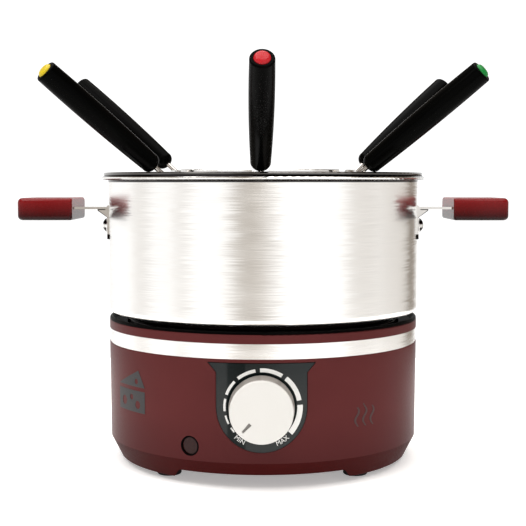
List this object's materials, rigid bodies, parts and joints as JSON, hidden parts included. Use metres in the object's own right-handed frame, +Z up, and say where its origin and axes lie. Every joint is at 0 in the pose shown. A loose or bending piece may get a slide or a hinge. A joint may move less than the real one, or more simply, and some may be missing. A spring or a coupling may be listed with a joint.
{
  "type": "electric fondue set",
  "caption": "Electric fondue set: round thermostat base with a front dial, lift-off steel pot with side grips, and a notched ring holding slanted forks with coloured caps.",
  "frame": {"origin": "centre of the footprint, on the surface that the rubber feet stand on", "axes": "+Z up; the dial faces -Y; the two pot grips lie along +X and -X"},
  "size_m": [0.3126, 0.3055, 0.2527],
  "materials": {
    "shell_red": "satin metallic paint",
    "skirt_red": "satin metallic paint",
    "black_plastic": "satin moulded",
    "panel_black": "semi-gloss",
    "brushed_steel": "brushed round the pot",
    "polished_steel": "polished stainless steel",
    "aluminium": "as cast, turned",
    "zinc_steel": "zinc plated",
    "brass": "plain",
    "copper_wire": "silicone insulation",
    "knob_silver": "satin lacquer",
    "knob_cream": "satin",
    "lamp_smoke": "smoked, glossy",
    "lamp_glass": "clear",
    "grip_red": "gloss lacquer",
    "handle_black": "satin phenolic",
    "rubber": "matt",
    "ceramic": "glazed ceramic",
    "cap_red": "gloss",
    "cap_green": "gloss",
    "cap_yellow": "gloss",
    "cap_blue": "gloss",
    "cap_orange": "gloss",
    "cap_white": "gloss"
  },
  "bodies": {
    "base": {"base_shell": "shell_red", "bottom_pan": "skirt_red", "rubber_feet": "rubber", "base_screws": "zinc_steel", "steel_band": "brushed_steel", "top_collar": "shell_red", "heater_surround": "black_plastic", "cord_gland": "black_plastic", "control_panel": "panel_black", "lamp_bezel": "black_plastic", "indicator_lens": "lamp_smoke", "neon_lamp": "lamp_glass", "heating_plate": "aluminium", "heating_element": "zinc_steel", "heat_shield": "aluminium", "plate_studs": "zinc_steel", "thermostat_body": "ceramic", "thermostat_bracket": "zinc_steel", "temperature_sensor": "brass", "thermal_fuse": "polished_steel", "terminal_block": "ceramic", "internal_leads": "copper_wire"},
    "knob": {"knob_body": "knob_silver", "knob_cap": "knob_cream", "knob_spindle": "zinc_steel"},
    "pot": {"pot_bowl": "brushed_steel", "pot_base_disc": "aluminium", "bracket_left": "polished_steel", "bracket_right": "polished_steel", "bracket_rivets": "polished_steel", "grip_left": "grip_red", "grip_right": "grip_red", "grip_screws": "zinc_steel"},
    "fork_ring": {"fork_ring": "polished_steel"},
    "fork_1": {"fork_1_prongs": "polished_steel", "fork_1_handle": "handle_black", "fork_1_cap": "cap_red"},
    "fork_2": {"fork_2_prongs": "polished_steel", "fork_2_handle": "handle_black", "fork_2_cap": "cap_green"},
    "fork_3": {"fork_3_prongs": "polished_steel", "fork_3_handle": "handle_black", "fork_3_cap": "cap_blue"},
    "fork_4": {"fork_4_prongs": "polished_steel", "fork_4_handle": "handle_black", "fork_4_cap": "cap_white"},
    "fork_5": {"fork_5_prongs": "polished_steel", "fork_5_handle": "handle_black", "fork_5_cap": "cap_orange"},
    "fork_6": {"fork_6_prongs": "polished_steel", "fork_6_handle": "handle_black", "fork_6_cap": "cap_yellow"}
  },
  "joints": [
    {"name": "knob_turn", "type": "hinge", "parent": "base", "child": "knob", "pos_m": [0, -0.1, 0.0492], "axis": [0, 1, 0], "range_deg": [0, 270]},
    {"name": "pot_lift", "type": "slide", "parent": "base", "child": "pot", "axis": [0, 0, 1], "range_m": [0, 0.15]},
    {"name": "ring_lift", "type": "slide", "parent": "pot", "child": "fork_ring", "axis": [0, 0, 1], "range_m": [0, 0.1]},
    {"name": "fork_1_draw", "type": "slide", "parent": "fork_ring", "child": "fork_1", "axis": [0.0175, -0.791, 0.6115], "range_m": [0, 0.16]},
    {"name": "fork_2_draw", "type": "slide", "parent": "fork_ring", "child": "fork_2", "axis": [0.7068, -0.3555, 0.6115], "range_m": [0, 0.16]},
    {"name": "fork_3_draw", "type": "slide", "parent": "fork_ring", "child": "fork_3", "axis": [0.6586, 0.4385, 0.6115], "range_m": [0, 0.16]},
    {"name": "fork_4_draw", "type": "slide", "parent": "fork_ring", "child": "fork_4", "axis": [-0.0423, 0.7901, 0.6115], "range_m": [0, 0.16]},
    {"name": "fork_5_draw", "type": "slide", "parent": "fork_ring", "child": "fork_5", "axis": [-0.7068, 0.3555, 0.6115], "range_m": [0, 0.16]},
    {"name": "fork_6_draw", "type": "slide", "parent": "fork_ring", "child": "fork_6", "axis": [-0.6613, -0.4344, 0.6115], "range_m": [0, 0.16]}
  ]
}
